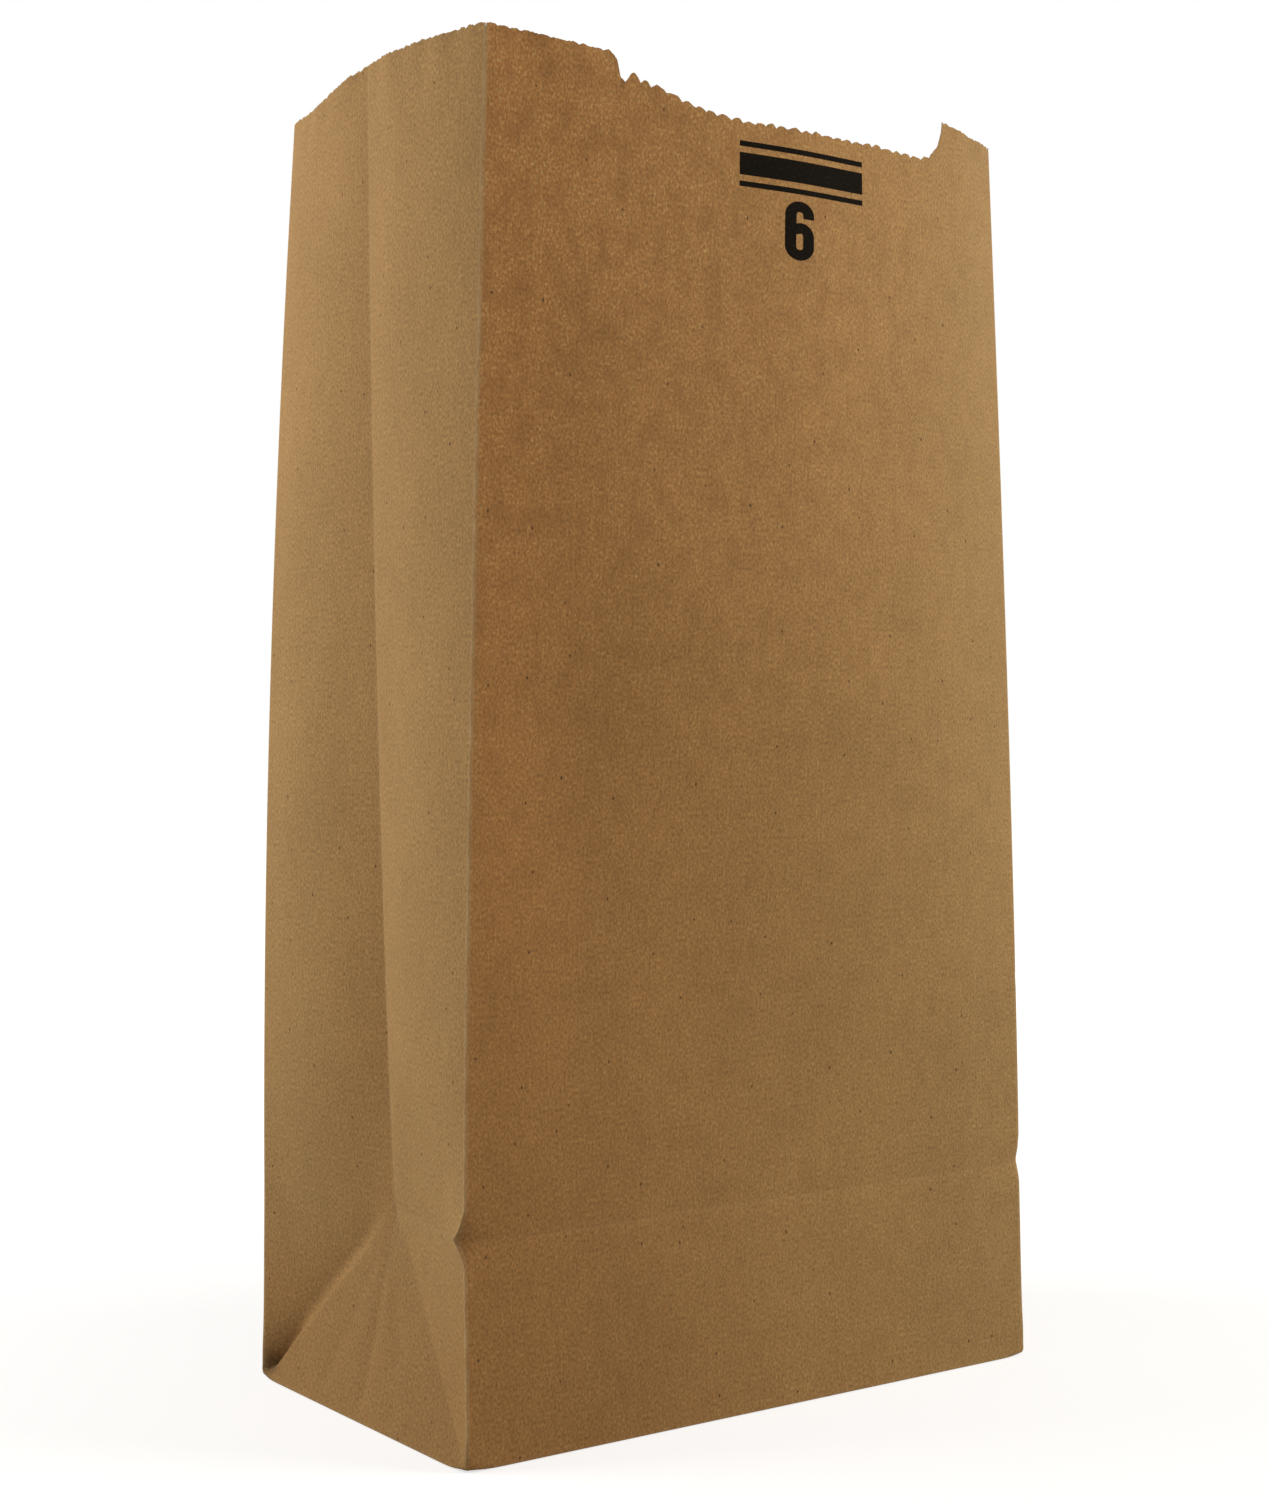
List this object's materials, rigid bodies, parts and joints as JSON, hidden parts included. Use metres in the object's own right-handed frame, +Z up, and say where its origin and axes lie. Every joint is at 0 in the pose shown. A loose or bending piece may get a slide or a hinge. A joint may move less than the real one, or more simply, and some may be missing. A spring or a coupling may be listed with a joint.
{
  "type": "brown paper lunch bag",
  "caption": "Open flat-bottomed kraft paper lunch bag with creased side gussets and a toothed, thumb-cut mouth.",
  "frame": {"origin": "under the middle of the flat bottom, on the surface the bag stands on", "axes": "+Z up to the open mouth, +X to the right along the front panel, -Y out of the front panel, which has the thumb cut"},
  "size_m": [0.1578, 0.1076, 0.2855],
  "materials": {
    "kraft_paper": "matt unbleached kraft paper with a fine upright fibre grain"
  },
  "bodies": {
    "root": {"paper_bag": "kraft_paper"}
  },
  "joints": []
}
